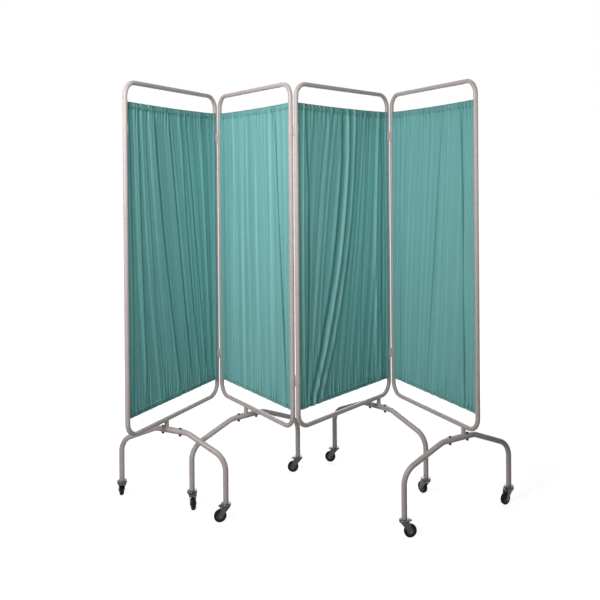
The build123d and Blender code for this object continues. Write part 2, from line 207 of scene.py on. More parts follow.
def new_group(name, inputs, outputs):
    """A node group with named inputs, their kinds and defaults, and named outputs."""
    group = bpy.data.node_groups.new(name, "ShaderNodeTree")
    for socket, (kind, value) in inputs.items():
        made = group.interface.new_socket(socket, in_out="INPUT", socket_type=kind)
        if value is not None:
            made.default_value = value
    for socket, kind in outputs.items():
        group.interface.new_socket(socket, in_out="OUTPUT", socket_type=kind)
    start = group.nodes.new("NodeGroupInput")
    end = group.nodes.new("NodeGroupOutput")
    return group, start, end


def make_mottle_group():
    """Cloudy variation between two values, at a given scale."""
    group, start, end = new_group(
        "mottle",
        {"Vector": ("NodeSocketVector", None), "Scale": ("NodeSocketFloat", 10.0),
         "Low": ("NodeSocketFloat", 0.0), "High": ("NodeSocketFloat", 1.0)},
        {"Value": "NodeSocketFloat"},
    )
    noise = add_node(group, "ShaderNodeTexNoise", Detail=4.0, Roughness=0.55)
    spread = add_node(group, "ShaderNodeMapRange", From_Min=0.3, From_Max=0.7)
    group.links.new(start.outputs["Vector"], noise.inputs["Vector"])
    group.links.new(start.outputs["Scale"], noise.inputs["Scale"])
    group.links.new(noise.outputs["Fac"], spread.inputs["Value"])
    group.links.new(start.outputs["Low"], spread.inputs["To Min"])
    group.links.new(start.outputs["High"], spread.inputs["To Max"])
    group.links.new(spread.outputs["Result"], end.inputs["Value"])
    return group


def make_tint_group():
    """A colour made lighter and darker by a value around 1."""
    group, start, end = new_group(
        "tint",
        {"Color": ("NodeSocketColor", (0.5, 0.5, 0.5, 1.0)), "Factor": ("NodeSocketFloat", 1.0)},
        {"Color": "NodeSocketColor"},
    )
    scale = group.nodes.new("ShaderNodeVectorMath")
    scale.operation = "SCALE"
    group.links.new(start.outputs["Color"], scale.inputs[0])
    group.links.new(start.outputs["Factor"], scale.inputs["Scale"])
    group.links.new(scale.outputs["Vector"], end.inputs["Color"])
    return group


mottle = make_mottle_group()
tint = make_tint_group()


def mottled(tree, vector, scale, low, high):
    """The mottle group's value in one material."""
    made = use_group(tree, mottle, Scale=scale, Low=low, High=high)
    tree.links.new(vector, made.inputs["Vector"])
    return made.outputs["Value"]


def tinted(tree, factor, color):
    """A fixed colour, varied by the tint group."""
    made = use_group(tree, tint, Color=(*color, 1.0))
    tree.links.new(factor, made.inputs["Factor"])
    return made.outputs["Color"]


# Solid finishes: paint, plating, steel, rubber and plastic

gloss_scale = 3.1            # how much finer the gloss varies than the colour


def surface(name, color, roughness, metallic=0.0, mottle_scale=80.0, color_spread=0.03, rough_spread=0.05,
            skin_scale=0.0, skin_depth=0.0, **shader_values):
    """A solid finish: colour and gloss that vary a little, and a fine skin in relief."""
    material, tree, shader = new_material(name)
    place = tree.nodes.new("ShaderNodeTexCoord").outputs["Object"]
    shade = mottled(tree, place, mottle_scale, 1.0 - color_spread, 1.0 + color_spread)
    gloss = mottled(tree, place, mottle_scale * gloss_scale,
                    roughness - rough_spread, roughness + rough_spread)
    tree.links.new(tinted(tree, shade, color), shader.inputs["Base Color"])
    tree.links.new(gloss, shader.inputs["Roughness"])
    if skin_depth:
        skin = add_node(tree, "ShaderNodeTexNoise", Scale=skin_scale, Detail=2.0)
        bump = add_node(tree, "ShaderNodeBump", Strength=1.0, Distance=skin_depth)
        tree.links.new(place, skin.inputs["Vector"])
        tree.links.new(skin.outputs["Fac"], bump.inputs["Height"])
        tree.links.new(bump.outputs["Normal"], shader.inputs["Normal"])
    set_inputs(shader, {"Metallic": metallic, **shader_values})
    return material


frame_paint = surface(
    "frame_paint", (0.440, 0.392, 0.372), roughness=0.28, mottle_scale=14.0, color_spread=0.03,
    rough_spread=0.05, skin_scale=700.0, skin_depth=0.00003, Specular_IOR_Level=0.26,
)
wire_cover = surface(
    "wire_cover", (0.78, 0.77, 0.73), roughness=0.5, mottle_scale=60.0, color_spread=0.03,
    rough_spread=0.06,
)
bolt_black = surface(
    "bolt_black", (0.012, 0.011, 0.010), roughness=0.40, mottle_scale=90.0, color_spread=0.15,
    rough_spread=0.08, Specular_IOR_Level=0.25,
)
castor_plate = surface(
    "castor_plate", (0.042, 0.042, 0.039), roughness=0.24, metallic=0.30, mottle_scale=70.0,
    color_spread=0.08, rough_spread=0.05, skin_scale=900.0, skin_depth=0.00002,
    Specular_IOR_Level=0.7, Coat_Weight=0.6, Coat_Roughness=0.16,
)
castor_fork_steel = surface(
    "castor_fork_steel", (0.054, 0.052, 0.047), roughness=0.36, metallic=0.20, mottle_scale=70.0,
    color_spread=0.10, rough_spread=0.06, skin_scale=800.0, skin_depth=0.00002,
    Specular_IOR_Level=0.5, Coat_Weight=0.15, Coat_Roughness=0.2,
)
tyre_rubber = surface(
    "tyre_rubber", (0.008, 0.008, 0.008), roughness=0.50, mottle_scale=80.0, color_spread=0.20,
    rough_spread=0.10, skin_scale=1200.0, skin_depth=0.00003, Specular_IOR_Level=0.10,
)
hub_plastic = surface(
    "hub_plastic", (0.062, 0.050, 0.042), roughness=0.45, mottle_scale=90.0, color_spread=0.12,
    rough_spread=0.08, skin_scale=1000.0, skin_depth=0.00002, Specular_IOR_Level=0.2,
)


# Curtain cloth: plain-woven, thin enough to let some light through

cloth_color = (0.178, 0.432, 0.416)
# Painted shade in the creases, and painted highlight on the ridges
crease_shade_color = (0.014, 0.135, 0.096)
ridge_highlight_color = (0.420, 0.690, 0.690)
glow_color = (0.50, 1.0, 0.95)
cloth_through = 0.15         # share of the light that scatters through each face of the cloth
thread_waves = 900.0         # waves in a metre, so a thread is about a third of a millimetre
thread_relief = 0.00008      # metres
slub_stretch = 0.12          # slubs run up and down the cloth


def read_map(tree, name):
    """One of the cloth's own UV maps."""
    made = tree.nodes.new("ShaderNodeUVMap")
    made.uv_map = name
    return made.outputs["UV"]


def weave_normal(tree, thread):
    """Warp and weft in relief."""
    threads = []
    for direction in ("X", "Y"):
        wave = add_node(tree, "ShaderNodeTexWave", Scale=thread_waves, Distortion=0.6, Detail=1.0)
        wave.wave_type = "BANDS"
        wave.bands_direction = direction
        tree.links.new(thread, wave.inputs["Vector"])
        threads.append(wave.outputs["Fac"])
    bump = add_node(tree, "ShaderNodeBump", Strength=0.5, Distance=thread_relief)
    tree.links.new(add_math(tree, "MAXIMUM", *threads), bump.inputs["Height"])
    return bump.outputs["Normal"]


def cloth_tone(tree, thread):
    """The cloth's colour: slubs and clouds, painted highlights on the ridges, painted shade in the creases, and
    painted shade at the head and painted light at the foot.
    """
    stretch = add_node(tree, "ShaderNodeMapping", Scale=(1.0, slub_stretch, 1.0))
    tree.links.new(thread, stretch.inputs["Vector"])
    slub = mottled(tree, stretch.outputs["Vector"], scale=240.0, low=0.965, high=1.035)
    cloud = mottled(tree, thread, scale=5.0, low=0.97, high=1.03)
    toned = tinted(tree, add_math(tree, "MULTIPLY", slub, cloud), cloth_color)
    shade = tree.nodes.new("ShaderNodeSeparateXYZ")
    tree.links.new(read_map(tree, "shade"), shade.inputs["Vector"])
    # The shade map's X: painted shade in creases and inward pleats above 0, painted highlight on ridges and
    # outward pleats below 0
    painted_shading = shade.outputs["X"]
    painted_highlight = add_math(tree, "MULTIPLY", painted_shading, -1.0)
    lit = blend_towards(tree, painted_highlight, toned, ridge_highlight_color)
    shaded = blend_towards(tree, painted_shading, lit, crease_shade_color)
    # Painted shade at the head and painted light at the foot, from the shade map's Y
    edge_shaded = use_group(tree, tint)
    tree.links.new(shaded, edge_shaded.inputs["Color"])
    tree.links.new(shade.outputs["Y"], edge_shaded.inputs["Factor"])
    return edge_shaded.outputs["Color"]


def make_cloth():
    """Plain-woven teal cloth: two crossing threads, slubs, a soft nap, and a glow from behind."""
    material, tree, shader = new_material("curtain_cloth")
    thread = read_map(tree, "thread")
    normal = weave_normal(tree, thread)
    tree.links.new(normal, shader.inputs["Normal"])
    tree.links.new(cloth_tone(tree, thread), shader.inputs["Base Color"])
    gloss = mottled(tree, thread, scale=90.0, low=0.78, high=0.92)
    tree.links.new(gloss, shader.inputs["Roughness"])
    set_inputs(shader, {"Sheen_Weight": 0.12, "Sheen_Roughness": 0.45, "Specular_IOR_Level": 0.25})
    through = add_node(tree, "ShaderNodeBsdfTranslucent", Color=(*glow_color, 1.0))
    tree.links.new(normal, through.inputs["Normal"])
    thin = add_node(tree, "ShaderNodeMixShader", Fac=cloth_through)
    tree.links.new(shader.outputs["BSDF"], thin.inputs[1])
    tree.links.new(through.outputs["BSDF"], thin.inputs[2])
    tree.links.new(thin.outputs["Shader"], tree.nodes["Material Output"].inputs["Surface"])
    return material


cloth = make_cloth()

node_finish = {
    "panel_frame": frame_paint, "leg_arch": frame_paint, "saddle_bracket": frame_paint,
    "hinge_clips": frame_paint, "curtain_wires": wire_cover, "curtain": cloth,
    "leg_bolts": bolt_black, "castor_sockets": castor_plate, "castor_stems": castor_plate,
    "castor_fork": castor_fork_steel, "castor_wheel": tyre_rubber, "castor_axle": castor_plate,
}


def finish_of(name):
    """The finish whose kind of piece fits a node's name most closely."""
    kinds = [kind for kind in node_finish if name.startswith(kind)]
    return node_finish[max(kinds, key=len)]


def finish_nodes():
    """Gives every solid of the frame its finish."""
    for name, node in frame["nodes"].items():
        node.data.materials.clear()
        node.data.materials.append(finish_of(name))


# Edges of the turned and pressed pieces, broken as the real ones are: radius in metres, and steps

broken_edges = {
    "saddle_bracket": (0.0006, 2), "hinge_clips": (0.0007, 2), "leg_bolts": (0.0004, 2),
    "castor_stems": (0.0006, 2), "castor_fork": (0.0007, 2), "castor_axle": (0.0004, 2),
}
flat_angle = math.radians(1.0)       # under which two faces are one
sharp_angle = math.radians(38.0)     # over which an edge is broken
broken_smooth_angle = math.radians(40.0)


def body_of_node(name):
    """The body that a node of the frame belongs to."""
    bodies = frame["record"]["behaviour"]["bodies"]
    return next(body for body, members in bodies.items() if name in members)


def break_edges(name, radius, steps):
    """A copy of a solid with its sharp edges rounded, in the solid's place."""
    piece = place_object(f"{name}_rounded", frame["nodes"][name].data.copy())
    make_active(piece)
    bpy.ops.object.mode_set(mode="EDIT")
    bpy.ops.mesh.select_all(action="SELECT")
    bpy.ops.mesh.remove_doubles(threshold=merge_distance)
    bpy.ops.mesh.dissolve_limited(angle_limit=flat_angle)
    bpy.ops.object.mode_set(mode="OBJECT")
    apply_modifier(piece, "BEVEL", "edges", width=radius, segments=steps, limit_method="ANGLE",
                   angle_limit=sharp_angle, miter_outer="MITER_ARC")
    make_active(piece)
    bpy.ops.object.shade_smooth_by_angle(angle=broken_smooth_angle)
    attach(piece, body_of_node(name))
    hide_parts(name)


def break_all_edges():
    """Breaks the edges of every piece of a kind in the list."""
    for name in sorted(frame["nodes"]):
        for kind, (radius, steps) in broken_edges.items():
            if name.startswith(kind):
                break_edges(name, radius, steps)


# Castor wheels: distances from the axle and from the wheel's middle, in metres

wheel_radius = 0.025
tread_half = 0.0085
shoulder_round = 0.005
shoulder_steps = 6
bead_width = 0.0006          # of the tyre's lip beside the hub
bead_drop = 0.0012           # of the lip's foot, from the tyre's side
bead_lip_drop = 0.0002
hub_radius = 0.0172
hub_rise = 0.0076            # of the hub's rim, from the wheel's middle
hub_web = 0.0062             # of its sunk web
rim_foot = 0.0022            # from the hub's edge to the rim's inner foot
rim_top = 0.0014             # and to its inner top
rim_outer_top = 0.0003
rim_outer_drop = 0.0005
hub_gap = 0.0001             # between hub and tyre
boss_rise = 0.0093
boss_radius = 0.0064
boss_chamfer = 0.0005
boss_foot = 0.0012
axle_bore = 0.00306
ring_radius = 0.0125         # of the moulded ring on the web
ring_height = 0.0006
ring_top_half = 0.0006
ring_foot_half = 0.0012
wheel_steps = 56
wheel_smooth_angle = math.radians(32.0)


def mirrored_profile(points):
    """A closed half-section, from points on one side of the wheel and their mirror images."""
    return points + [(radius, -side) for radius, side in reversed(points)]


def tyre_profile():
    """From the bead beside the hub over the rounded shoulder to the tread."""
    bead = [(hub_radius, tread_half - bead_drop), (hub_radius + bead_width, tread_half - bead_lip_drop)]
    centre_radius = wheel_radius - shoulder_round
    centre_side = tread_half - shoulder_round
    shoulder = []
    for i in range(shoulder_steps + 1):
        angle = math.pi / 2 * (1 - i / shoulder_steps)
        shoulder.append((centre_radius + shoulder_round * math.cos(angle),
                         centre_side + shoulder_round * math.sin(angle)))
    return mirrored_profile(bead + shoulder)


def hub_profile():
    """From the axle's bore over the boss, the sunk web with its ring, and the rim."""
    ring_top = hub_web + ring_height
    return mirrored_profile([
        (axle_bore, boss_rise), (boss_radius - boss_chamfer, boss_rise),
        (boss_radius, boss_rise - boss_chamfer), (boss_radius + boss_foot, hub_web),
        (ring_radius - ring_foot_half, hub_web), (ring_radius - ring_top_half, ring_top),
        (ring_radius + ring_top_half, ring_top), (ring_radius + ring_foot_half, hub_web),
        (hub_radius - rim_foot, hub_web), (hub_radius - rim_top, hub_rise),
        (hub_radius - rim_outer_top, hub_rise), (hub_radius - hub_gap, hub_rise - rim_outer_drop),
    ])


def spun_piece(name, profile, joint, material):
    """A ring or disc spun from its section, then set on a castor's axle."""
    hub, axle, body = Vector(joint["pos_m"]), Vector(joint["axis"]), joint["child"]
    mesh = bpy.data.meshes.new(name)
    corners = [(radius, 0.0, side) for radius, side in profile]
    edges = [(i, (i + 1) % len(corners)) for i in range(len(corners))]
    mesh.from_pydata(corners, edges, [])
    piece = place_object(name, mesh)
    make_active(piece)
    bpy.ops.object.mode_set(mode="EDIT")
    bpy.ops.mesh.select_all(action="SELECT")
    bpy.ops.mesh.spin(steps=wheel_steps, angle=2 * math.pi, center=(0.0, 0.0, 0.0), axis=(0.0, 0.0, 1.0))
    bpy.ops.mesh.select_all(action="SELECT")
    bpy.ops.mesh.remove_doubles(threshold=merge_distance)
    bpy.ops.mesh.normals_make_consistent(inside=False)
    bpy.ops.object.mode_set(mode="OBJECT")
    turn = axle.to_track_quat("Z", "Y").to_matrix().to_4x4()
    mesh.transform(Matrix.Translation(hub) @ turn)
    make_active(piece)
    bpy.ops.object.shade_smooth_by_angle(angle=wheel_smooth_angle)
    mesh.materials.append(material)
    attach(piece, body)
    return piece


def make_wheel(joint):
    """Black tyre and dark grey moulded hub on one castor's axle."""
    name = joint["name"].replace("spin_", "")
    tyre = spun_piece(f"castor_tyre_{name}", tyre_profile(), joint, tyre_rubber)
    centre = spun_piece(f"castor_hub_{name}", hub_profile(), joint, hub_plastic)
    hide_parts(f"castor_wheel_{name}")


def make_wheels():
    """A wheel for every joint that spins."""
    for joint in frame["joints"]:
        if joint["name"].startswith("spin_"):
            make_wheel(joint)


# Curtains: where the cloth lies, in metres

curtain_low = 0.440          # bottom edge above the floor
curtain_high = 1.674
cloth_edge = 0.0103          # from an upright's centre to the cloth
clip_edge = 0.0127           # the same beside a hinge clip
rolled_cloth_edge = 0.0074   # both again where the cloth rolls round in front of the upright
rolled_clip_edge = 0.0127
rolled_in_front = (1, 3)     # the panels where it does so
clip_heights = (0.560, 1.560)
clip_reach = 0.034           # how far above and below a clip the cloth draws back
clip_ease = 0.013            # over which it comes out again
edge_sag = 0.0035            # of the top edge, mid-panel
sag_fade = 8                 # power by which the sag dies out down the cloth
cloth_thickness = 0.0005

# Casings round the wires
wire_drop = 0.018            # from each edge of the cloth to its wire
wire_bulge = 0.0023          # how far the casing stands out round the wire
casing_half = 0.0105         # from the wire to the casing's stitching
casing_pucker = 0.0085       # from the wire, over which its puckering dies out
pucker_share = {1: 0.85, 2: 0.40, 3: 0.85, 4: 0.40}  # of the gathers, kept where the casing holds them
front_pucker = 0.0085        # the most that the casing's front and back stand out
back_pucker = 0.003
casing_limit = 0.0092        # and the most that any part of a face does
stitch_dent = 0.0002         # how deep the stitching sinks in
stitch_width = 0.0018        # and over what width
hem_depth = 0.032            # of the turned-over cloth behind each wire
hem_gap = 1.3                # between cloth and hem, in thicknesses

# Rows and columns of the cloth's mesh
cloth_columns = 400
casing_reach = 0.033         # of the closest rows, from each edge
casing_rows = 15
gather_reach = 0.105         # of the next ones
gather_rows = 12
middle_rows = 56

# How far each panel's folds lean, as a share of its width, from their foot to their head
fold_lean_share = {1: -0.27, 2: -0.07, 3: 0.30, 4: 0.18}

# The main folds: where each stands at the top, middle and bottom, as shares of the panel,
# then how far it stands out of the cloth and how wide it is, in millimetres
main_folds = {
    1: [
        ((0.040, 0.062, 0.060), -7.5, 4.4), ((0.125, 0.155, 0.205), -7.0, 4.6),
        ((0.283, 0.400, 0.565), -8.0, 5.4), ((0.432, 0.557, 0.705), -7.5, 5.2),
        ((0.573, 0.660, 0.800), -6.5, 4.4), ((0.631, 0.755, 0.875), -6.0, 4.4),
        ((0.821, 0.880, 0.950), -6.0, 4.2), ((0.200, 0.260, 0.350), -4.0, 4.0),
        ((0.250, 0.355, 0.515), 2.5, 14.0), ((0.530, 0.620, 0.760), 2.0, 14.0),
    ],
    2: [
        ((0.800, 0.860, 0.930), -7.0, 4.0), ((0.060, 0.060, 0.060), -4.2, 6.0),
        ((0.160, 0.160, 0.165), -3.4, 5.0), ((0.265, 0.270, 0.280), -3.0, 4.6),
        ((0.430, 0.430, 0.440), -3.6, 5.0), ((0.630, 0.635, 0.650), -3.4, 5.0),
        ((0.215, 0.215, 0.220), 3.2, 6.0), ((0.355, 0.350, 0.360), 3.6, 7.0),
        ((0.545, 0.545, 0.555), 3.0, 8.0), ((0.730, 0.740, 0.760), 3.0, 7.0),
    ],
    3: [
        ((0.026, 0.024, 0.024), -7.0, 4.6), ((0.069, 0.055, 0.060), 6.0, 7.0),
        ((0.093, 0.120, 0.080), -7.0, 5.5), ((0.482, 0.385, 0.108), -8.5, 8.0),
        ((0.530, 0.436, 0.140), 8.5, 8.0), ((0.560, 0.468, 0.172), -7.0, 6.0),
        ((0.600, 0.505, 0.205), 6.5, 8.0), ((0.625, 0.540, 0.240), -6.0, 5.0),
        ((0.354, 0.225, 0.095), 3.0, 9.0), ((0.885, 0.840, 0.850), 5.5, 10.0),
        ((0.920, 0.922, 0.911), -8.5, 5.4), ((0.955, 0.958, 0.955), -5.0, 3.4),
        ((0.760, 0.700, 0.640), -3.6, 5.0),
    ],
    4: [
        ((0.650, 0.535, 0.430), -5.0, 5.0), ((0.850, 0.859, 0.863), -6.0, 5.0),
        ((0.290, 0.215, 0.170), 3.0, 14.0), ((0.120, 0.100, 0.095), -4.4, 5.0),
        ((0.430, 0.350, 0.290), -3.4, 5.0), ((0.740, 0.700, 0.660), -3.0, 5.0),
    ],
}
pinch = 0.78                 # how far a sunk fold's sides close on each other
shoulder_height = 0.42       # of the swell beside a sunk fold, as a share of the fold
shoulder_place = 1.9         # from the fold to its swell, in fold widths
shoulder_width = 1.6
hold_length = 0.012          # metres over which the pinch dies out towards an upright
hold_start = 0.9             # where it is gone: in such lengths from the upright's centre
relief_limit = 8.8           # millimetres

# Small pleats between the main folds, and gathers at the wires; heights in millimetres
pleat_seed = 40
pleat_turns = (9.0, 34.0)    # across the panel, of the slowest and the fastest wave
pleat_waves = 26
pleat_wander = 1.2           # the most that a wave drifts sideways above and below mid-height, in radians
pleat_height = {1: 1.9, 2: 2.5, 3: 2.0, 4: 2.4}
gather_seed = 80
gather_turns = (24.0, 50.0)
gather_waves = 30
gather_drift = 0.6           # share of that which the gathers drift from foot to head
gather_steepness = 0.9       # how sharply they rise
gather_height = 3.0
top_gather_fade = 0.045      # metres from the top wire over which the gathers die out
foot_gather_fade = 0.090     # the same from the foot wire
fold_loss = 0.55             # share of a main fold that is gone where the cloth is gathered
pleat_loss = 0.3             # and of a pleat
side_height = 0.6            # share of the folds and pleats that is left beside an upright
side_reach = 0.03            # metres over which they grow to their full height

# The cloth's roll round the hinged uprights, in millimetres
roll_out = {1: 8.0, 2: 5.0, 3: 8.0, 4: 5.0}
roll_width = 10.0
roll_flat = 14.0             # from the upright's centre to where the roll starts to fall off
roll_calm = 0.95             # share of the relief that the roll takes away
rolled_edge = {1: 1.0, 2: 0.0, 3: 1.0, 4: 0.0}       # the share across where the cloth rolls

# Painted shading: how dark the painted shade in the creases and how pale the painted highlights on the ridges are,
# from 0 to 1
crease_shade_width = 1.05          # in fold widths
crease_shade_from = 3.0            # millimetres of depth at which a fold starts to darken
crease_shade_full = 4.0            # and how much deeper it is at its darkest
ridge_highlight_width = 0.85
ridge_highlight_full = 7.0             # millimetres at which a ridge is at its palest
ridge_highlight = {1: 0.15, 2: 0.55, 3: 0.66, 4: 0.15}
ridge_highlight_fade = {1: 0.0, 2: 0.0, 3: 0.55, 4: 0.0}       # how much of that is gone at the top
pleat_shading = {1: 0.03, 2: 0.13, 3: 0.10, 4: 0.04}    # how much painted light and shade the small pleats take
gather_shade = 0.75         # how dark the painted shade in the creases between the gathers is
gather_shade_from = 0.3     # and how low a gather lies where they start
side_shade = 0.5            # painted shade beside the uprights
side_shade_from = 11.0      # millimetres from the upright's centre
side_shade_width = 4.0
casing_shade = 0.05           # painted shade in the doubled cloth of the casings
edge_shade = 0.32             # painted shade of the fold at the very edge
edge_shade_fade = 0.003       # metres over which that fades out
edge_shade_end = 1.5          # where it is gone: in such lengths from the edge
foot_shading = -0.35            # the foot's share of both: painted light there, not painted shade
seam_blur = 0.001            # metres over which the casing's painted shade ends at the stitching
mid_height = 1.0             # above which the cloth's head counts, and below it the foot


def cloth_rows():
    """Heights of the cloth's rows: close together at the wires, wider between."""
    near = np.linspace(0.0, casing_reach, casing_rows)
    next_out = np.linspace(casing_reach, gather_reach, gather_rows)[1:]
    steps = np.concatenate([near, next_out])
    low = steps + curtain_low
    high = curtain_high - steps[::-1]
    middle = np.linspace(low[-1], high[0], middle_rows)[1:-1]
    return np.concatenate([low, middle, high])


def height_share(height):
    """0 at the cloth's foot and 1 at its head."""
    return (height - curtain_low) / (curtain_high - curtain_low)


def wire_distances(height):
    """How far each point is from the top wire and from the foot wire, up or down."""
    return np.abs(curtain_high - wire_drop - height), np.abs(height - curtain_low - wire_drop)


def through_three(places, share):
    """A value that passes through three given ones at the head, middle and foot."""
    top, middle, foot = places
    return (foot * (2 * share - 1) * (share - 1) + middle * 4 * share * (1 - share)
            + top * share * (2 * share - 1))


def wave_series(place, drift, seed, turns_range, count):
    """An uneven row of pleats: many waves of random length, from about -1 to 1."""
    chance = random.Random(seed)
    slowest, fastest = turns_range
    total = np.zeros_like(place)
    weight = 0.0
    for _ in range(count):
        turns = slowest * (fastest / slowest) ** chance.random()
        height = (slowest / turns) ** 0.5
        phase = chance.uniform(0.0, 2 * math.pi)
        wander = chance.uniform(-pleat_wander, pleat_wander)
        total += height * np.sin(2 * math.pi * turns * place + phase + wander * drift)
        weight += height ** 2
    return total / math.sqrt(weight)


def bell(distance, width):
    """1 at no distance, falling off smoothly on both sides."""
    return np.exp(-(distance / width) ** 2)


def fold_shapes(panel, across, share, free):
    """The main folds: relief and sideways pinch in millimetres, and their painted shade in the creases and painted
    highlights where they stand out.
    """
    relief = np.zeros_like(across)
    shift = np.zeros_like(across)
    painted_shading = np.zeros_like(across)
    painted_highlight = np.zeros_like(across)
    for places, out, width in main_folds[panel]:
        away = (across - through_three(places, share)) * panel_width * mm_per_metre
        near = bell(away, width)
        relief += out * near
        if out < 0:
            relief -= out * shoulder_height * bell(away + shoulder_place * width, shoulder_width * width)
            shift -= pinch * away * near * free
            # Painted shade in a sunk fold, by its depth
            depth = max(min((-out - crease_shade_from) / crease_shade_full, 1.0), 0.0)
            painted_shading = np.maximum(painted_shading, bell(away, crease_shade_width * width) * depth * free)
        else:
            # Painted highlight on a fold that stands out
            pale = min(out / ridge_highlight_full, 1.0) * (1.0 - ridge_highlight_fade[panel] * share)
            painted_highlight = np.maximum(painted_highlight, bell(away, ridge_highlight_width * width) * pale)
    return relief * free, shift, painted_shading, painted_highlight


def curtain_shape(panel, across, height):
    """Where the cloth lies across its panel, how far it stands out, and its painted shade in the creases and
    painted highlights on the ridges.
    """
    share = height_share(height)
    lean = fold_lean_share[panel]
    place = across - lean * (share - 0.5) * 4 * across * (1 - across)
    from_top, from_foot = wire_distances(height)
    near_wire = np.exp(-from_top / top_gather_fade) + np.exp(-from_foot / foot_gather_fade)
    gathered = np.clip(near_wire, 0.0, 1.0)
    folds, shift, painted_shading, painted_highlight = fold_shapes(panel, across, share, 1.0 - fold_loss * gathered)

    pleats = np.tanh(wave_series(place, share * 2 - 1, pleat_seed + panel, pleat_turns, pleat_waves))
    # Painted light on the outward pleats and painted shade on the inward ones
    painted_pleat_shading = pleat_shading[panel] * pleats
    pleats = pleats * pleat_height[panel] * (1.0 - pleat_loss * gathered)

    gathers = wave_series(across, share * gather_drift, gather_seed + panel, gather_turns, gather_waves)
    # Painted shade in the creases between the gathers
    painted_shading = np.maximum(painted_shading, np.clip(-gathers - gather_shade_from, 0.0, 1.0) * gather_shade * gathered)
    gathers = np.tanh(gathers * gather_steepness) * gather_height * gathered

    side = np.minimum(across, 1 - across) * panel_width
    settle = side_height + (1.0 - side_height) * np.clip(side / side_reach, 0.0, 1.0)
    from_edge = np.abs(across - rolled_edge[panel]) * panel_width * mm_per_metre
    rolled = bell(np.maximum(from_edge - roll_flat, 0.0), roll_width)
    relief = (folds + pleats) * settle + gathers
    relief = relief * (1.0 - roll_calm * rolled) + roll_out[panel] * rolled

    # Painted shade beside the uprights, where the cloth meets the tube
    from_side = np.maximum(side * mm_per_metre - side_shade_from, 0.0)
    painted_shading = np.maximum(painted_shading, side_shade * bell(from_side, side_shade_width)) * (1.0 - rolled)
    # Painted highlights on the ridges, and painted light and shade on the small pleats
    painted_shading = painted_shading - ridge_highlight[panel] * painted_highlight - painted_pleat_shading
    held = np.clip(side / hold_length - hold_start, 0.0, 1.0)
    across = across + shift * held / mm_per_metre / panel_width
    return across, np.clip(relief, -relief_limit, relief_limit) / mm_per_metre, painted_shading


def over_wire(panel, relief, height, face):
    """The cloth's two faces part round the wire, and its gathers pucker outwards there."""
    nearest = np.minimum(*wire_distances(height))
    bulge = wire_bulge * np.cos(np.minimum(nearest / casing_half, 1.0) * math.pi / 2) ** 2
    puckered = bell(nearest, casing_pucker)
    stitched = stitch_dent * bell(nearest - casing_half, stitch_width)
    gathers = np.minimum(np.abs(relief), front_pucker if face > 0 else back_pucker) * pucker_share[panel]
    parted = relief * (1 - puckered) + face * (gathers * puckered + bulge - stitched)
    return np.clip(parted, -casing_limit, casing_limit)


def edge_place(height, beside_tube, beside_clip):
    """How far the cloth stays from an upright's centre at each height, as a share of the panel."""
    beside = np.zeros_like(height)
    for clip in clip_heights:
        beside = np.maximum(beside, np.clip((clip_reach - np.abs(height - clip)) / clip_ease, 0.0, 1.0))
    return (beside_tube + (beside_clip - beside_tube) * beside) / panel_width


def cloth_grid(panel, heights, rolled):
    """Share across and height of every point of a grid of cloth."""
    shares = np.linspace(0.0, 1.0, cloth_columns + 1)
    across, height = np.meshgrid(shares, heights)
    plain = edge_place(height, cloth_edge, clip_edge)
    round_tube = plain
    if rolled and panel in rolled_in_front:
        round_tube = edge_place(height, rolled_cloth_edge, rolled_clip_edge)
    left, right = (plain, round_tube) if rolled_edge[panel] else (round_tube, plain)
    return left + across * (1 - left - right), height


def sagged(across, height):
    """The top edge hangs a little between the uprights, and the cloth below it follows."""
    share = np.clip(height_share(height), 0.0, 1.0)
    return height - edge_sag * 4 * across * (1 - across) * share ** sag_fade


def head_and_foot_shading(height):
    """A factor on the colour: painted shade in the top casing and along the top edge, painted light at the foot.
    """
    nearest = np.minimum(*wire_distances(height))
    casing = np.clip((casing_half + seam_blur - nearest) / seam_blur, 0.0, 1.0)
    heading = (height > curtain_high - wire_drop) | (height < curtain_low + wire_drop)
    doubled = np.maximum(casing, heading)
    edge = np.minimum(curtain_high - height, height - curtain_low)
    at_edge = np.clip(edge_shade_end - edge / edge_shade_fade, 0.0, 1.0)
    share = np.where(height > mid_height, 1.0, foot_shading)
    return 1.0 - share * (casing_shade * doubled + edge_shade * at_edge)


def thread_lengths(across, relief):
    """Length of cloth from the left edge to each point of the grid, along its row."""
    steps = np.hypot(np.diff(across, axis=1) * panel_width, np.diff(relief, axis=1))
    return np.concatenate([np.zeros((len(across), 1)), np.cumsum(steps, axis=1)], axis=1)


def cloth_mesh(name, panel, across, height, relief, painted_shading):
    """A sheet of quads over a grid, with maps of the thread in metres and of the painted shade and painted light
    on creases, ridges, pleats and edges.
    """
    along, out = panel_axes(panel)
    foot = panel_foot(panel)
    rows, columns = across.shape
    level = sagged(across, height)
    points = [
        foot + along * (across[r, c] * panel_width) + out * relief[r, c] + Vector((0.0, 0.0, level[r, c]))
        for r in range(rows) for c in range(columns)
    ]
    faces = [
        (r * columns + c, r * columns + c + 1, (r + 1) * columns + c + 1, (r + 1) * columns + c)
        for r in range(rows - 1) for c in range(columns - 1)
    ]
    mesh = bpy.data.meshes.new(name)
    mesh.from_pydata(points, [], faces)
    corners = np.array([loop.vertex_index for loop in mesh.loops])
    maps = {"thread": (thread_lengths(across, relief), height), "shade": (painted_shading, head_and_foot_shading(height))}
    for layer_name, values in maps.items():
        layer = mesh.uv_layers.new(name=layer_name)
        layer.data.foreach_set("uv", np.stack([value.ravel()[corners] for value in values], 1).ravel())
    mesh.materials.append(cloth)
    piece = place_object(name, mesh)
    apply_modifier(piece, "SOLIDIFY", "thickness", thickness=cloth_thickness, offset=0.0)
    make_active(piece)
    bpy.ops.object.shade_smooth()
    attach(piece, f"panel_{panel}")
    return piece


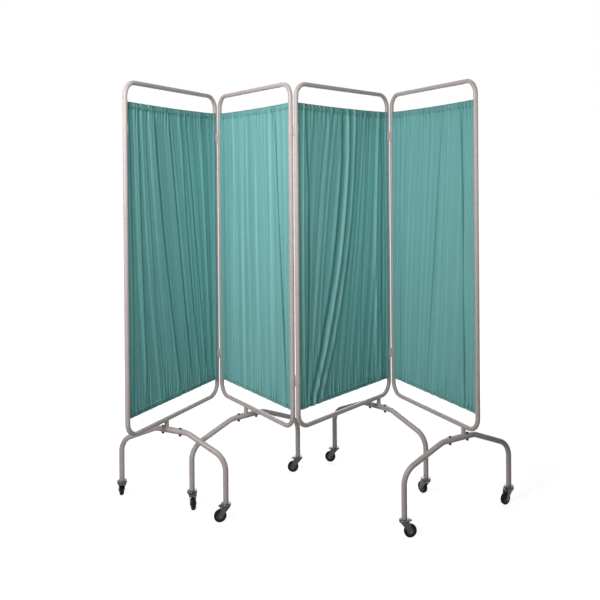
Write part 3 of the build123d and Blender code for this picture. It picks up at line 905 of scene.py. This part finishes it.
def make_hem(panel, heights, place):
    """The cloth turned over behind a wire and stitched down."""
    across, height = cloth_grid(panel, heights, rolled=False)
    across, relief, painted_shading = curtain_shape(panel, across, height)
    relief = over_wire(panel, relief, height, -1) - cloth_thickness * hem_gap
    return cloth_mesh(f"curtain_hem_{panel}_{place}", panel, across, height, relief, painted_shading)


def make_curtain(panel):
    """One gathered cloth with its two turned hems."""
    heights = cloth_rows()
    across, height = cloth_grid(panel, heights, rolled=True)
    across, relief, painted_shading = curtain_shape(panel, across, height)
    relief = over_wire(panel, relief, height, 1)
    sheet = cloth_mesh(f"curtain_cloth_{panel}", panel, across, height, relief, painted_shading)
    top = make_hem(panel, heights[heights > curtain_high - hem_depth], "top")
    foot = make_hem(panel, heights[heights < curtain_low + hem_depth], "foot")
    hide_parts(f"curtain_{panel}")


# Light and floor

white = (1.0, 1.0, 1.0)
rose_white = (1.03, 0.985, 1.02)
green_white = (0.95, 1.0, 0.965)
room_light = 0.06            # strength of the room's own light
floor_size = 60.0            # metres
floor_glow = 0.84            # how far the floor whitens itself near the screen
floor_near = 0.9             # metres from the screen's middle to where that starts to grow
floor_far = 2.2              # and to where the floor is all white


def white_to_the_eye(tree):
    """1 for rays from the camera and for those seen in a reflection, else 0."""
    path = tree.nodes.new("ShaderNodeLightPath")
    total = path.outputs["Is Camera Ray"]
    for ray in ("Is Glossy Ray", "Is Transmission Ray"):
        total = add_math(tree, "MAXIMUM", total, path.outputs[ray])
    return total


def make_floor():
    """A pale floor, white to the camera but for the screen's own soft shadow."""
    material, tree, shader = new_material("floor")
    place = tree.nodes.new("ShaderNodeTexCoord").outputs["Object"]
    paper = mottled(tree, place, scale=3.0, low=0.345, high=0.355)
    tree.links.new(paper, shader.inputs["Base Color"])
    set_inputs(shader, {"Roughness": 0.9, "Specular_IOR_Level": 0.1, "Emission_Color": (*white, 1.0)})
    reach = tree.nodes.new("ShaderNodeVectorMath")
    reach.operation = "LENGTH"
    tree.links.new(place, reach.inputs[0])
    whiten = add_node(tree, "ShaderNodeMapRange", From_Min=floor_near, From_Max=floor_far,
                      To_Min=floor_glow, To_Max=1.0)
    whiten.interpolation_type = "SMOOTHSTEP"
    tree.links.new(reach.outputs["Value"], whiten.inputs["Value"])
    glow = add_math(tree, "MULTIPLY", white_to_the_eye(tree), whiten.outputs["Result"])
    tree.links.new(glow, shader.inputs["Emission Strength"])
    deselect()
    bpy.ops.mesh.primitive_plane_add(size=floor_size, location=(0.0, 0.0, 0.0))
    floor = bpy.context.active_object
    floor.name = "floor"
    floor.data.materials.append(material)


def make_world():
    """A white room that gives little light of its own."""
    world = bpy.data.worlds.new("studio")
    world.use_nodes = True
    bpy.context.scene.world = world
    tree = world.node_tree
    back = set_inputs(tree.nodes["Background"], {"Color": (*white, 1.0)})
    strength = add_node(tree, "ShaderNodeMapRange", To_Min=room_light, To_Max=1.0)
    tree.links.new(white_to_the_eye(tree), strength.inputs["Value"])
    tree.links.new(strength.outputs["Result"], back.inputs["Strength"])


def softbox(name, place, aim, size, power, color=white, spread=180.0):
    """A lamp with a soft front of a width and height in metres; power in watts, spread in degrees."""
    data = bpy.data.lights.new(name, "AREA")
    data.shape = "RECTANGLE"
    data.size, data.size_y = size
    data.energy = power
    data.spread = math.radians(spread)
    data.color = color
    lamp = place_object(name, data)
    lamp.visible_camera = False
    lamp.location = place
    lamp.rotation_mode = "QUATERNION"
    lamp.rotation_quaternion = (Vector(aim) - Vector(place)).to_track_quat("-Z", "Y")


def make_lights():
    """The room, two soft lamps at the front left, a weak one at the front right, and a large one behind."""
    make_world()
    softbox("key_light", place=(-1.2, -1.8, 1.8), aim=(-0.1, 0.0, 1.0), size=(0.8, 1.2), power=37.0,
            color=rose_white)
    softbox("high_light", place=(-0.6, -1.4, 2.3), aim=(-0.1, 0.0, 1.0), size=(0.8, 0.8), power=11.0,
            color=rose_white)
    softbox("fill_light", place=(1.6, -2.3, 1.5), aim=(-0.1, 0.0, 1.45), size=(0.9, 0.7), power=3.4,
            color=green_white, spread=64.0)
    softbox("back_light", place=(0.3, 2.4, 1.6), aim=(0.0, 0.0, 1.0), size=(2.6, 1.8), power=40.0)


make_camera()
finish_nodes()
break_all_edges()
make_wheels()
for number in panels:
    make_curtain(number)
make_floor()
make_lights()

scene = bpy.context.scene
scene.view_settings.view_transform = "Standard"
